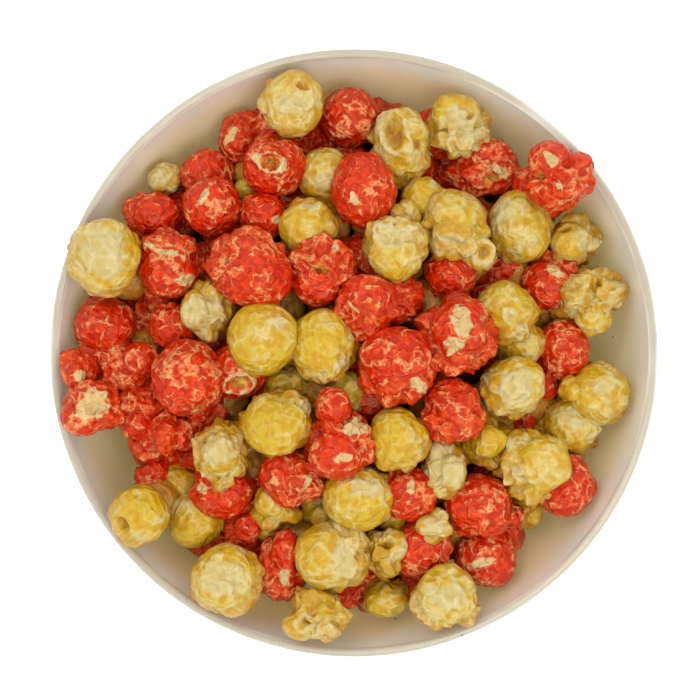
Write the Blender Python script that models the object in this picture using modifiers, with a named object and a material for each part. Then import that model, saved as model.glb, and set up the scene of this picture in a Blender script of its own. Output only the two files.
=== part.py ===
"""A white ceramic bowl heaped with red and gold candied popcorn.

Metres, +Z up. The origin is on the table, under the middle of the bowl's foot ring.
"""

import math
import random

import bmesh
import bpy
from mathutils import Vector

MM = 0.001

# Bowl, turned about Z. Its inside and its outside are each an arc that leaves a small flat
# floor level and climbs to the lip.
BOWL_RADIUS = 101.5 * MM
BOWL_HEIGHT = 72 * MM
LIP_THICKNESS = 3.2 * MM
FLOOR_RADIUS = 22 * MM
FLOOR_THICKNESS = 4.4 * MM
FOOT_HEIGHT = 3.6 * MM
FOOT_RADIUS = 42 * MM
FOOT_WIDTH = 4.5 * MM
FOOT_TAPER = 1 * MM
TURN_STEPS = 48
INSIDE_STEPS = 9
LIP_STEPS = 4
OUTSIDE_STEPS = 7

LIP_RADIUS = LIP_THICKNESS / 2
LIP_CENTRE = (BOWL_RADIUS - LIP_RADIUS, BOWL_HEIGHT - LIP_RADIUS)
MOUTH_RADIUS = BOWL_RADIUS - LIP_THICKNESS
INSIDE_FLOOR = FOOT_HEIGHT + FLOOR_THICKNESS

# Heap. Its upper pieces lie along a crown, a low dome that leans up towards -X and -Y, and they
# rest on each other, on the bowl's wall and on its lip.
CROWN_RISE = 12 * MM
CROWN_DROP = 28 * MM
CROWN_RADIUS = 88 * MM
CROWN_LEAN = (-0.06, -0.03)
WALL_GAP = 0.75 * MM
EYE_HEIGHT = 800 * MM

# Settling: how close two pieces may nestle, as a share of their reaches, and how strongly each
# round moves them apart and back to the crown.
NESTLE = 0.72
SETTLE_ROUNDS = 40
PUSH = 0.25
PULL = 0.12

# A piece that rests on the lip has one below it, nearer the axis, at least this large.
HIGH_ON_LIP = 10 * MM
PROP_SIZE = 10 * MM
PROP_NESTLE = 0.6

# Core. Its top runs just under the middles of the pieces near each spot, and lower where none is.
CORE_SINK = 5 * MM
CORE_SPREAD = 9 * MM
BARE_SINK = 14 * MM
BARE_WEIGHT = 0.2
CORE_EDGE_SINK = 7 * MM
CORE_BELOW_LIP = 9 * MM
CORE_STEPS = 24
CORE_WALL_SHARES = (0, 0.4, 0.75, 1)
CORE_TOP_SHARES = (0.88, 0.7, 0.46, 0.23)

# One row a piece, in millimetres: its place seen from EYE_HEIGHT above the middle of the rim, its
# widths along X and Y, and how far it stands above or below the crown. Round pieces are the
# mushroom kind and ragged ones the flaked kind. The largest of each come first.
RED_ROUND = (
    (-35, 28.3, 29, 28, 5), (14.3, -4.7, 26, 27, 4), (-55.3, -8.3, 26, 26, 4), (-61, 30.3, 25, 24, 1),
    (3.3, 54.3, 22.5, 26, 4), (43.3, 62, 26, 20.5, 3), (41.3, -51, 23.5, 22, 2),
    (3.7, 15, 22.5, 22.5, 2), (33.3, -19, 22.5, 22.5, 2), (-26.3, 62.7, 22, 21.5, 3),
    (-83, 9.3, 21.5, 22, -3), (-1.3, 78, 21.5, 21.5, 0), (70.7, -44, 21.5, 21.5, -2),
    (43.7, -67.7, 21.5, 21.5, 0), (-20.7, -42, 22.5, 20, 1), (-44.3, -45.7, 22, 20, 0),
    (22.7, -65, 21, 21, 0), (-47, 49, 20.5, 20.5, 2), (-38.7, -5.7, 21, 19, -3),
    (69.7, 1, 18.5, 21, -2), (18.3, -46.7, 20, 19, 0), (-36.3, 71.7, 18.7, 19, -5),
    (-49, 59, 18.7, 18.7, -4), (32, 26.3, 18, 18, -5), (-30.3, 45.7, 17.5, 17.5, -4),
    (-60.3, 8.7, 16.5, 17, -3),
)
RED_RAGGED = (
    (34.3, 6.7, 29, 29, 5), (-10.3, 27.7, 23, 25, 0), (-4.7, -30.3, 24, 24, 3), (68.7, 59, 23, 23.5, 0),
    (66, 24.7, 22, 22, 2), (-74.7, -5, 22, 21, 0), (-23.7, -70.7, 18, 25, 1), (-87, -18.3, 22, 19, 0),
    (-67.3, 45, 20, 18, 0), (-71.3, -19.7, 19, 19, -1), (-60.7, -25.7, 18, 18, -1),
    (-62, 20.3, 17, 17, -6), (15.7, 17.7, 16, 17, -3), (-49.7, -19.7, 16, 16, -5),
    (-36, -56.7, 15.5, 16, -3), (-68, -29.3, 15, 15, -2), (-63, -34.3, 13.5, 14, -3),
    (-92, -5.3, 13, 14, 0),
)
GOLD_ROUND = (
    (-83.3, 31.7, 25, 26.5, 0), (-42.3, -75.3, 25, 25.5, 1), (-7, -67.7, 26, 24.5, 4),
    (33, 42.3, 25, 25, 3), (-30, 4.3, 24.7, 25, 4), (-9.3, 2.3, 24, 25, 0), (-26.3, -23.7, 25, 24, 4),
    (55.7, 41.7, 23, 25.5, 2), (1.3, -48.7, 24, 24, 1), (14, 34.7, 23, 23, 3), (-21.3, 83, 22.5, 23, 0),
    (51, 13.3, 22.5, 22, 0), (81.3, -13.3, 22, 22.5, 0), (15, -28.7, 22, 22, 2),
    (52.7, -11.7, 22.5, 21.5, 3), (-71.7, -54.3, 21, 21.5, 0), (-52, -54.7, 20, 20.5, -3),
    (-15, 42.3, 20.5, 19.5, 0), (-9.7, 59, 18.5, 19, -3), (55.3, 3, 18, 17, -3),
    (23.3, 51.3, 16, 16, -2),
)
GOLD_RAGGED = (
    (59.3, -38, 26.5, 26, 4), (15.3, 68.7, 22.5, 29, 3), (79.3, 17, 25.5, 24, 0),
    (70.3, -24, 25, 22, 2), (30.3, -81, 24, 22.5, 0), (35, 75.3, 23, 22.5, 0),
    (-44.7, -34.3, 19.5, 25.5, 3), (-12, -87.3, 24, 19, 0), (-48.3, 14, 19, 21.5, 0), (74, 37.5, 19, 19, -3),
    (45, -29.7, 19, 19, -2), (30, -39, 15.5, 20, 1), (-26, -51, 18, 17, -5), (10, -67, 16.5, 18, 0),
    (10.3, -81.3, 16.7, 14, -1), (56.3, -52, 14, 14, -6),
    (-26.3, -59.3, 13.5, 13.5, -6), (26.7, -57.7, 12.5, 13, 5),
)

# Lobes of a piece, in shares of its half width: how many, how far out they lie, how large they are.
ROUND_LOBES = (11, (0.30, 0.36), (0.64, 0.70))
RAGGED_LOBES = (8, (0.38, 0.46), (0.50, 0.58))
LOBE_JITTER = 0.35
SMALL_PIECE = 18 * MM
SMALL_FACETS = 1
PIECE_FACETS = 2
SHARP_ANGLE = math.radians(50)

CERAMIC = ((0.80, 0.79, 0.75, 1), 0.18)
CANDY = ((0.75, 0.30, 0.12, 1), 0.35)


def clear_scene():
    for obj in list(bpy.data.objects):
        bpy.data.objects.remove(obj)


def material(name, colour, roughness):
    made = bpy.data.materials.new(name)
    made.use_nodes = True
    shader = made.node_tree.nodes["Principled BSDF"]
    shader.inputs["Base Color"].default_value = colour
    shader.inputs["Roughness"].default_value = roughness
    made.diffuse_color = colour
    return made


def collection(name):
    made = bpy.data.collections.new(name)
    bpy.context.scene.collection.children.link(made)
    return made


def mesh_object(name, bm, group, paint):
    mesh = bpy.data.meshes.new(name)
    bm.to_mesh(mesh)
    bm.free()
    mesh.materials.append(paint)
    made = bpy.data.objects.new(name, mesh)
    group.objects.link(made)
    return made


def level_arc(start_radius, start_height, end_radius, end_height):
    """(centre radius, centre height, radius, turn) of an arc that starts level and climbs to its end."""
    out = end_radius - start_radius
    up = end_height - start_height
    turn = 2 * math.atan2(up, out)
    arc_radius = out / math.sin(turn)
    return start_radius, start_height + arc_radius, arc_radius, turn


INSIDE_ARC = level_arc(FLOOR_RADIUS, INSIDE_FLOOR, MOUTH_RADIUS, LIP_CENTRE[1])
OUTSIDE_ARC = level_arc(FLOOR_RADIUS, FOOT_HEIGHT, BOWL_RADIUS, LIP_CENTRE[1])


def arc_point(arc, angle, inset=0.0):
    """(radius, height) on an arc, at this angle from straight down, moved towards its centre by inset."""
    centre_radius, centre_height, arc_radius, _ = arc
    reach = arc_radius - inset
    return centre_radius + reach * math.sin(angle), centre_height - reach * math.cos(angle)


def bowl_profile():
    """(radius, height) points from the middle of the inside floor, over the lip, to the middle below."""
    points = [(0, INSIDE_FLOOR)]
    for i in range(INSIDE_STEPS + 1):
        points.append(arc_point(INSIDE_ARC, INSIDE_ARC[3] * i / INSIDE_STEPS))
    for i in range(1, LIP_STEPS):
        angle = math.pi * (1 - i / LIP_STEPS)
        points.append((
            LIP_CENTRE[0] + LIP_RADIUS * math.cos(angle),
            LIP_CENTRE[1] + LIP_RADIUS * math.sin(angle),
        ))
    foot_angle = math.asin((FOOT_RADIUS - FLOOR_RADIUS) / OUTSIDE_ARC[2])
    for i in range(OUTSIDE_STEPS + 1):
        share = i / OUTSIDE_STEPS
        points.append(arc_point(OUTSIDE_ARC, OUTSIDE_ARC[3] + share * (foot_angle - OUTSIDE_ARC[3])))
    foot_outer = FOOT_RADIUS - FOOT_TAPER
    foot_inner = foot_outer - FOOT_WIDTH
    points.append((foot_outer, 0))
    points.append((foot_inner, 0))
    points.append((foot_inner - FOOT_TAPER, FOOT_HEIGHT))
    points.append((0, FOOT_HEIGHT))
    return points


def build_bowl(group, paint):
    bm = bmesh.new()
    corners = [bm.verts.new((radius, 0, height)) for radius, height in bowl_profile()]
    for first, second in zip(corners, corners[1:]):
        bm.edges.new((first, second))
    bowl = mesh_object("bowl", bm, group, paint)
    turn = bowl.modifiers.new("turn", "SCREW")
    turn.steps = turn.render_steps = TURN_STEPS
    turn.use_merge_vertices = True
    turn.merge_threshold = 0.00005
    turn.use_smooth_shade = True
    return bowl


def crown_height(x, y):
    """Height at which the heap's upper pieces have their middles, here."""
    fall = CROWN_DROP * (x * x + y * y) / CROWN_RADIUS**2
    return BOWL_HEIGHT + CROWN_RISE - fall + CROWN_LEAN[0] * x + CROWN_LEAN[1] * y


def resting_height(out, size):
    """Lowest height for a ball of this radius, this far from the axis, clear of the bowl."""
    centre_radius, centre_height, arc_radius, _ = INSIDE_ARC
    reach = arc_radius - size - WALL_GAP
    beyond = max(out - centre_radius, 0)
    if beyond < reach:
        drop = math.sqrt(reach**2 - beyond**2)
        if centre_height - drop * arc_radius / reach <= LIP_CENTRE[1]:
            return centre_height - drop
    touch = size + LIP_RADIUS + WALL_GAP
    return LIP_CENTRE[1] + math.sqrt(max(touch**2 - (LIP_CENTRE[0] - out) ** 2, 0))


class Piece:
    """One popped kernel: its form, and its place, which moves as the heap settles."""

    def __init__(self, row, lobes, seed):
        self.seen_x, self.seen_y, width_x, width_y, lift = (value * MM for value in row)
        self.half = Vector((width_x, width_y, (width_x + width_y) / 2)) / 2
        self.size = max(self.half)
        self.lobes = lobes
        self.seed = seed
        self.level = crown_height(self.seen_x, self.seen_y) + lift
        self.move_to(self.level)

    def move_to(self, height):
        """Above the rim a piece is nearer the axis than it looks, and below it further out."""
        for _ in range(3):
            shrink = 1 - (height - BOWL_HEIGHT) / EYE_HEIGHT
            self.x = self.seen_x * shrink
            self.y = self.seen_y * shrink
            height = max(height, resting_height(math.hypot(self.x, self.y), self.size))
        self.z = height


def settle(pieces):
    """Moves overlapping pieces up and down, never sideways, until they only nestle into each other."""
    for _ in range(SETTLE_ROUNDS):
        for i, first in enumerate(pieces):
            for second in pieces[:i]:
                close = NESTLE * (first.size + second.size)
                apart = math.hypot(first.x - second.x, first.y - second.y)
                if apart >= close:
                    continue
                upper, lower = (first, second) if first.z > second.z else (second, first)
                short = math.sqrt(close**2 - apart**2) - (upper.z - lower.z)
                if short > 0:
                    upper.move_to(upper.z + PUSH * short)
                    lower.move_to(lower.z - PUSH * short)
        for piece in pieces:
            piece.move_to(piece.z + PULL * (piece.level - piece.z))


def heap_pieces():
    """Every piece that shows, settled, and those that hold up the ones on the lip."""
    kinds = (
        (RED_ROUND, ROUND_LOBES), (RED_RAGGED, RAGGED_LOBES),
        (GOLD_ROUND, ROUND_LOBES), (GOLD_RAGGED, RAGGED_LOBES),
    )
    pieces = []
    for rows, lobes in kinds:
        for row in rows:
            pieces.append(Piece(row, lobes, len(pieces)))
    settle(pieces)
    for piece in list(pieces):
        if piece.z - piece.level < HIGH_ON_LIP:
            continue
        size = max(piece.size, PROP_SIZE)
        step = PROP_NESTLE * (piece.size + size) / math.sqrt(2)
        inward = 1 - step / math.hypot(piece.x, piece.y)
        row = (inward * piece.x / MM, inward * piece.y / MM, 2 * size / MM, 2 * size / MM, 0)
        prop = Piece(row, ROUND_LOBES, len(pieces))
        prop.move_to(piece.z - step)
        pieces.append(prop)
    return pieces


def lobe_balls(lobes, draw):
    """(centre, radius) of the balls whose outline is a popped kernel. Each holds the kernel's middle."""
    count, reaches, radii = lobes
    balls = []
    for i in range(count):
        height = 1 - 2 * (i + 0.5) / count
        turn = i * math.pi * (3 - math.sqrt(5)) + draw.uniform(-LOBE_JITTER, LOBE_JITTER)
        flat = math.sqrt(1 - height * height)
        way = Vector((flat * math.cos(turn), flat * math.sin(turn), height))
        balls.append((way * draw.uniform(*reaches), draw.uniform(*radii)))
    return balls


def lobed_reach(way, balls):
    """How far the furthest ball reaches from the kernel's middle, in this direction."""
    reach = 0
    for centre, radius in balls:
        along = way.dot(centre)
        reach = max(reach, along + math.sqrt(along * along - centre.length_squared + radius * radius))
    return reach


def build_piece(piece, group, paint):
    draw = random.Random(piece.seed)
    balls = lobe_balls(piece.lobes, draw)
    turned = Vector((draw.uniform(-1, 1), draw.uniform(-1, 1), 1)).to_track_quat("Z", "Y")
    bm = bmesh.new()
    facets = SMALL_FACETS if 2 * piece.size < SMALL_PIECE else PIECE_FACETS
    bmesh.ops.create_icosphere(bm, subdivisions=facets, radius=1)
    reaches = [lobed_reach((turned @ corner.co).normalized(), balls) for corner in bm.verts]
    furthest = max(reaches)
    for corner, reach in zip(bm.verts, reaches):
        way = corner.co.normalized() * (reach / furthest)
        corner.co = Vector((way.x * piece.half.x, way.y * piece.half.y, way.z * piece.half.z))
        corner.co += Vector((piece.x, piece.y, piece.z))
    return mesh_object(f"piece_{piece.seed:03d}", bm, group, paint)


def core_height(x, y, pieces):
    """Height of the core's top: a mean of the nearby pieces' middles, less the sink."""
    weights = BARE_WEIGHT
    total = weights * (crown_height(x, y) - BARE_SINK)
    for piece in pieces:
        away = ((x - piece.x) ** 2 + (y - piece.y) ** 2) / (2 * CORE_SPREAD**2)
        weight = math.exp(-away)
        total += weight * piece.z
        weights += weight
    return total / weights - CORE_SINK


def core_edge(turn, pieces):
    """(radius, height) at which the core's top meets the wall, in this direction."""
    centre_radius, centre_height, arc_radius, _ = INSIDE_ARC
    radius = CROWN_RADIUS
    for _ in range(6):
        near = core_height(radius * math.cos(turn), radius * math.sin(turn), pieces)
        height = min(near - CORE_EDGE_SINK, LIP_CENTRE[1] - CORE_BELOW_LIP)
        drop = centre_height - height
        radius = centre_radius + math.sqrt((arc_radius - WALL_GAP) ** 2 - drop**2)
    return radius, height


def build_core(group, paint, pieces):
    """The body of the heap: it fills the bowl, to a gap of the wall, up among the pieces."""
    bm = bmesh.new()
    turns = [math.tau * i / CORE_STEPS for i in range(CORE_STEPS)]
    edges = [core_edge(turn, pieces) for turn in turns]
    rings = []
    for share in CORE_WALL_SHARES:
        ring = []
        for turn, (edge_radius, _) in zip(turns, edges):
            edge_angle = math.asin((edge_radius - FLOOR_RADIUS) / (INSIDE_ARC[2] - WALL_GAP))
            radius, height = arc_point(INSIDE_ARC, share * edge_angle, WALL_GAP)
            ring.append(bm.verts.new((radius * math.cos(turn), radius * math.sin(turn), height)))
        rings.append(ring)
    for share in CORE_TOP_SHARES:
        ring = []
        for turn, (edge_radius, _) in zip(turns, edges):
            x = share * edge_radius * math.cos(turn)
            y = share * edge_radius * math.sin(turn)
            ring.append(bm.verts.new((x, y, core_height(x, y, pieces))))
        rings.append(ring)
    for lower, upper in zip(rings, rings[1:]):
        for i in range(CORE_STEPS):
            j = (i + 1) % CORE_STEPS
            bm.faces.new((lower[i], lower[j], upper[j], upper[i]))
    bottom = bm.verts.new((0, 0, INSIDE_FLOOR + WALL_GAP))
    peak = bm.verts.new((0, 0, core_height(0, 0, pieces)))
    for i in range(CORE_STEPS):
        j = (i + 1) % CORE_STEPS
        bm.faces.new((bottom, rings[0][j], rings[0][i]))
        bm.faces.new((peak, rings[-1][i], rings[-1][j]))
    bmesh.ops.recalc_face_normals(bm, faces=bm.faces)
    return mesh_object("popcorn", bm, group, paint)


def keep_outer_shell(obj):
    """Leaves the largest connected shell: a sealed hollow is filled, and a loose scrap goes."""
    bm = bmesh.new()
    bm.from_mesh(obj.data)
    unseen = set(bm.verts)
    shells = []
    while unseen:
        shell, front = set(), [unseen.pop()]
        while front:
            corner = front.pop()
            shell.add(corner)
            for edge in corner.link_edges:
                other = edge.other_vert(corner)
                if other in unseen:
                    unseen.remove(other)
                    front.append(other)
        shells.append(shell)
    shells.sort(key=len)
    for shell in shells[:-1]:
        bmesh.ops.delete(bm, geom=list(shell), context="VERTS")
    bm.to_mesh(obj.data)
    bm.free()


def build_popcorn(group, paint):
    pieces = heap_pieces()
    heap = build_core(group, paint, pieces)
    loose = collection("pieces_to_fuse")
    for piece in pieces:
        build_piece(piece, loose, paint)
    fuse = heap.modifiers.new("fuse", "BOOLEAN")
    fuse.operation = "UNION"
    fuse.operand_type = "COLLECTION"
    fuse.collection = loose
    fuse.solver = "EXACT"
    graph = bpy.context.evaluated_depsgraph_get()
    fused = bpy.data.meshes.new_from_object(heap.evaluated_get(graph))
    heap.modifiers.clear()
    heap.data = fused
    fused.shade_smooth()
    fused.set_sharp_from_angle(angle=SHARP_ANGLE)
    for obj in list(loose.objects):
        bpy.data.objects.remove(obj)
    bpy.data.collections.remove(loose)
    keep_outer_shell(heap)
    return heap


def main():
    clear_scene()
    group = collection("bowl_of_popcorn")
    build_bowl(group, material("glazed_ceramic", *CERAMIC))
    build_popcorn(group, material("candied_popcorn", *CANDY))


main()
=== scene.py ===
# Bowl of candied popcorn: the looks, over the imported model.
import random
from math import asin, atan2, cos, hypot, pi, radians, sin, sqrt, tau

import bmesh
import bpy
import numpy as np
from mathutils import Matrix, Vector, noise


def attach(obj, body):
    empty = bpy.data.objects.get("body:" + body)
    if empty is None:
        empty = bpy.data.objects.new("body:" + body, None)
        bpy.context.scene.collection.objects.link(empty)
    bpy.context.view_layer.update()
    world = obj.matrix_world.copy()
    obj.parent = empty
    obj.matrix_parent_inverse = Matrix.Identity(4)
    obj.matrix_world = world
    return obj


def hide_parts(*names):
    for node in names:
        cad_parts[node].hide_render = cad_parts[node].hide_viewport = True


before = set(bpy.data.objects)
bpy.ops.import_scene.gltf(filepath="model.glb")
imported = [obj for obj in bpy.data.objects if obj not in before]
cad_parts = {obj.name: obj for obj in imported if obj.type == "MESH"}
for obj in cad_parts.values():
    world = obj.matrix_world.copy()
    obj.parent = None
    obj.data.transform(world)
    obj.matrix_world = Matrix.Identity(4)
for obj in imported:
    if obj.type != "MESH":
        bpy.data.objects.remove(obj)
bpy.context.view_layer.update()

mm = 0.001

# The photo looks straight down. These are its pixels, 700 across.
photo = {
    "pixels": 700,
    "rimMiddle": (354, 353),
    "perMillimetre": 3.0,
    "eyeHeight": 800 * mm,  # above the rim
}


def fromRim(x, y):  # a pixel's place in the rim's plane, from the middle of the rim
    middleX, middleY = photo["rimMiddle"]
    return (x - middleX) / photo["perMillimetre"] * mm, (middleY - y) / photo["perMillimetre"] * mm


def linear(red, green, blue):  # a colour read off the photo, 0 to 255, by the sRGB curve
    made = []
    for value in (red, green, blue):
        share = value / 255
        made.append(share / 12.92 if share <= 0.04045 else ((share + 0.055) / 1.055) ** 2.4)
    return (*made, 1)


# Nodes, for geometry and shader trees alike. An Out is a node's output, for use in sums.


class Out:
    def __init__(self, tree, socket):
        self.tree = tree
        self.socket = socket

    def __add__(self, other):
        return calc("ADD", self, other)

    def __sub__(self, other):
        return calc("SUBTRACT", self, other)

    def __rsub__(self, other):
        return calc("SUBTRACT", other, self)

    def __mul__(self, other):
        if isVector(self) and not isVector(other):
            return put(self.tree, "ShaderNodeVectorMath", {0: self, "Scale": other}, operation="SCALE")
        return calc("MULTIPLY", self, other)

    def __truediv__(self, other):
        return calc("DIVIDE", self, other)


def isVector(value):
    if isinstance(value, Out):
        return value.socket.type in ("VECTOR", "RGBA")
    return isinstance(value, Vector)


def feed(node, feeds):
    for key, value in feeds.items():
        if isinstance(value, Out):
            value.tree.links.new(value.socket, node.inputs[key])
        else:
            node.inputs[key].default_value = value


def put(tree, kind, feeds=None, out=0, **settings):
    made = tree.nodes.new(kind)
    for name, value in settings.items():
        setattr(made, name, value)
    feed(made, feeds or {})
    return Out(tree, made.outputs[out])


def calc(operation, *values, clamp=False):
    tree = next(value.tree for value in values if isinstance(value, Out))
    feeds = dict(enumerate(values))
    if any(isVector(value) for value in values):
        out = "Value" if operation in ("DOT_PRODUCT", "LENGTH") else "Vector"
        return put(tree, "ShaderNodeVectorMath", feeds, out, operation=operation)
    return put(tree, "ShaderNodeMath", feeds, operation=operation, use_clamp=clamp)


def addSockets(tree, side, kinds):
    for name, kind in kinds.items():
        tree.interface.new_socket(name=name, in_out=side, socket_type="NodeSocket" + kind)


def largest(first, second):
    return calc("MAXIMUM", first, second)


def upPart(vector):
    return put(vector.tree, "ShaderNodeSeparateXYZ", {0: vector}, "Z")


def ramp(value, low, high):  # smooth step from low to high
    feeds = {"Value": value, "From Min": low, "From Max": high}
    return put(value.tree, "ShaderNodeMapRange", feeds, interpolation_type="SMOOTHSTEP")


def cloud(vector, scale, detail=1.0, out="Fac"):
    feeds = {"Vector": vector, "Scale": scale, "Detail": detail}
    return put(vector.tree, "ShaderNodeTexNoise", feeds, out)


def drift(vector, scale):  # a push to any side, smoothly changing
    return cloud(vector, scale, out="Color") - Vector((0.5, 0.5, 0.5))


def bump(height, strength, distance):
    feeds = {"Strength": strength, "Distance": distance, "Height": height}
    return put(height.tree, "ShaderNodeBump", feeds)


def mixColour(share, first, second):
    feeds = {0: share, 6: first, 7: second}
    return put(share.tree, "ShaderNodeMix", feeds, 2, data_type="RGBA")


# Bowl

bowl = {
    "radius": 101.5 * mm,
    "height": 72 * mm,
    "lip": 3.2 * mm,
    "floorRadius": 22 * mm,
    "floorThickness": 4.4 * mm,
    "footHeight": 3.6 * mm,
    "footRadius": 42 * mm,
    "footWidth": 4.5 * mm,
    "footTaper": 1 * mm,
    "footRound": 0.7 * mm,
    "footSteps": 4,
    "around": 160,
    "wallSteps": 40,
    "lipSteps": 12,
}
lipMiddle = (bowl["radius"] - bowl["lip"] / 2, bowl["height"] - bowl["lip"] / 2)
insideFloor = bowl["footHeight"] + bowl["floorThickness"]


def levelArc(startRadius, startHeight, endRadius, endHeight):  # leaves level, climbs to the end
    turn = 2 * atan2(endHeight - startHeight, endRadius - startRadius)
    arcRadius = (endRadius - startRadius) / sin(turn)
    return startRadius, startHeight + arcRadius, arcRadius, turn


insideArc = levelArc(bowl["floorRadius"], insideFloor, bowl["radius"] - bowl["lip"], lipMiddle[1])
outsideArc = levelArc(bowl["floorRadius"], bowl["footHeight"], bowl["radius"], lipMiddle[1])


def arcPoint(arc, angle):
    return arc[0] + arc[2] * sin(angle), arc[1] - arc[2] * cos(angle)


def corner(middle, radius, start, end, steps):  # part of a circle, angles from +X
    made = []
    for i in range(steps + 1):
        angle = start + (end - start) * i / steps
        made.append((middle[0] + radius * cos(angle), middle[1] + radius * sin(angle)))
    return made


def bowlProfile():
    steps = bowl["wallSteps"]
    points = [(0, insideFloor)]
    points += [arcPoint(insideArc, insideArc[3] * i / steps) for i in range(steps)]
    points += corner(lipMiddle, bowl["lip"] / 2, pi, 0, bowl["lipSteps"])
    footAngle = asin((bowl["footRadius"] - bowl["floorRadius"]) / outsideArc[2])
    points += [
        arcPoint(outsideArc, outsideArc[3] + (footAngle - outsideArc[3]) * i / steps)
        for i in range(1, steps + 1)
    ]
    outer = bowl["footRadius"] - bowl["footTaper"]
    inner = outer - bowl["footWidth"]
    edge = bowl["footRound"]
    points += corner((outer - edge, edge), edge, 0, -pi / 2, bowl["footSteps"])
    points += corner((inner + edge, edge), edge, -pi / 2, -pi, bowl["footSteps"])
    points += [(inner - bowl["footTaper"], bowl["footHeight"]), (0, bowl["footHeight"])]
    return points


def addRing(bm, radii, turns, heights):
    return [
        bm.verts.new((radius * cos(turn), radius * sin(turn), height))
        for radius, turn, height in zip(radii, turns, heights)
    ]


def joinRings(name, bm, rings):  # a ring of one vert is a pole
    for upper, lower in zip(rings, rings[1:]):
        for i in range(max(len(upper), len(lower))):
            corners = ((upper, i), (upper, i + 1), (lower, i + 1), (lower, i))
            bm.faces.new(list(dict.fromkeys(ring[k % len(ring)] for ring, k in corners)))
    bmesh.ops.recalc_face_normals(bm, faces=bm.faces)
    return meshObject(name, bm)


def turned(name, profile, around):
    bm = bmesh.new()
    rings = []
    for radius, height in profile:
        count = around if radius else 1
        turns = [tau * i / around for i in range(count)]
        rings.append(addRing(bm, [radius] * count, turns, [height] * count))
    return joinRings(name, bm, rings), [len(ring) for ring in rings]


def addObject(name, data):
    made = bpy.data.objects.new(name, data)
    bpy.context.scene.collection.objects.link(made)
    return made


def meshObject(name, bm):
    mesh = bpy.data.meshes.new(name)
    bm.to_mesh(mesh)
    bm.free()
    mesh.shade_smooth()
    return addObject(name, mesh)


# Heap: where the kernels lie. The same rows and the same settling as the solids.

heap = {
    "crownRise": 12 * mm,
    "crownDrop": 28 * mm,
    "crownRadius": 88 * mm,
    "crownLean": (-0.06, -0.03),
    "wallGap": 0.75 * mm,
    "nestle": 0.72,
    "rounds": 40,
    "push": 0.25,
    "pull": 0.12,
    "sightRounds": 3,  # to find a height's place on the line of sight
}

# A row is one kernel, in millimetres: its place across and up the photo from the middle of the
# rim, its two widths, how far it stands above the crown, how pale it is from 0 to 1, and its marks.
# A mark has its place on the kernel, its width, its height and its turn in degrees: cap is the
# round top, cup a hollow with a cream lip, pit a hollow without one, bare a spot with no coating.
redRound = [
    (-35, 28.3, 29, 28, 5, 0.2, ("cap", 1.2, -2, 22)),
    (14.3, -4.7, 26, 27, 4, 0.4, ("cap", 0, 1.7, 22), ("bare", 7.5, -7, 4, 6, 40)),
    (-55.3, -8.3, 26, 26, 4, 0.8, ("cap", 0, 1, 23), ("pit", 4.7, -9.3, 5, 3)),
    (-61, 30.3, 25, 24, 1, 0.6, ("cap", 0, -2, 19), ("bare", -1, 4, 12, 3, -15), ("bare", 6, -6, 6, 4)),
    (3.3, 54.3, 22.5, 26, 4, 0.15, ("cap", 0, 0, 22), ("bare", -3, -3.5, 2.2, 4.5, 20)),
    (43.3, 62, 26, 20.5, 3, 0.8, ("cap", 0, 3, 18), ("pit", 2.5, -4, 9, 4, 20),
     ("bare", 6, -0.5, 3, 7, 40)),
    (41.3, -51, 23.5, 22, 2, 0.25, ("cap", -0.9, 0.7, 20)),
    (3.7, 15, 22.5, 22.5, 2, 0.3, ("cap", 0.5, 2.3, 18.5), ("bare", -4.5, 0.5, 2, 6, 45)),
    (33.3, -19, 22.5, 22.5, 2, 0.6, ("cap", 0, 3, 18)),
    (-26.3, 62.7, 22, 21.5, 3, 0.5, ("cap", 0, -1, 20), ("cup", -1, -0.5, 8.5, 5.5, -20)),
    (-83, 9.3, 21.5, 22, -3, 0.2, ("cap", 0, -0.8, 19.5)),
    (-1.3, 78, 21.5, 21.5, 0, 0.85, ("cap", 0, 0, 20.5)),
    (70.7, -44, 21.5, 21.5, -2, 0.6),
    (43.7, -67.7, 21.5, 21.5, 0, 0.6, ("cap", 0, 0, 20), ("bare", -1, -0.7, 8, 2.5, 20)),
    (-20.7, -42, 22.5, 20, 1, 0.5, ("cap", -2, 1, 17), ("bare", 5.4, -1, 2.5, 6, -20)),
    (-44.3, -45.7, 22, 20, 0, 0.4, ("bare", -6.3, 1, 5, 4)),
    (22.7, -65, 21, 21, 0, 0.4),
    (-47, 49, 20.5, 20.5, 2, 0.35, ("cap", 0, 0, 18.5), ("bare", -2.3, 2.3, 2.5, 7, -25)),
    (-38.7, -5.7, 21, 19, -3, 0.4, ("cup", 0.3, -4, 8, 5, 10)),
    (69.7, 1, 18.5, 21, -2, 0.5, ("cap", 0, 0, 17.5)),
    (18.3, -46.7, 20, 19, 0, 0.4, ("bare", 0, 2.3, 2.5, 4)),
    (-36.3, 71.7, 18.7, 19, -5, 0.3, ("bare", -4, 0, 2.5, 6, -30)),
    (-49, 59, 18.7, 18.7, -4, 0.4),
    (32, 26.3, 18, 18, -5, 0.1),
    (-30.3, 45.7, 17.5, 17.5, -4, 0.3, ("bare", 4.3, -1.3, 3, 3)),
    (-60.3, 8.7, 16.5, 17, -3, 0.3),
]
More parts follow.
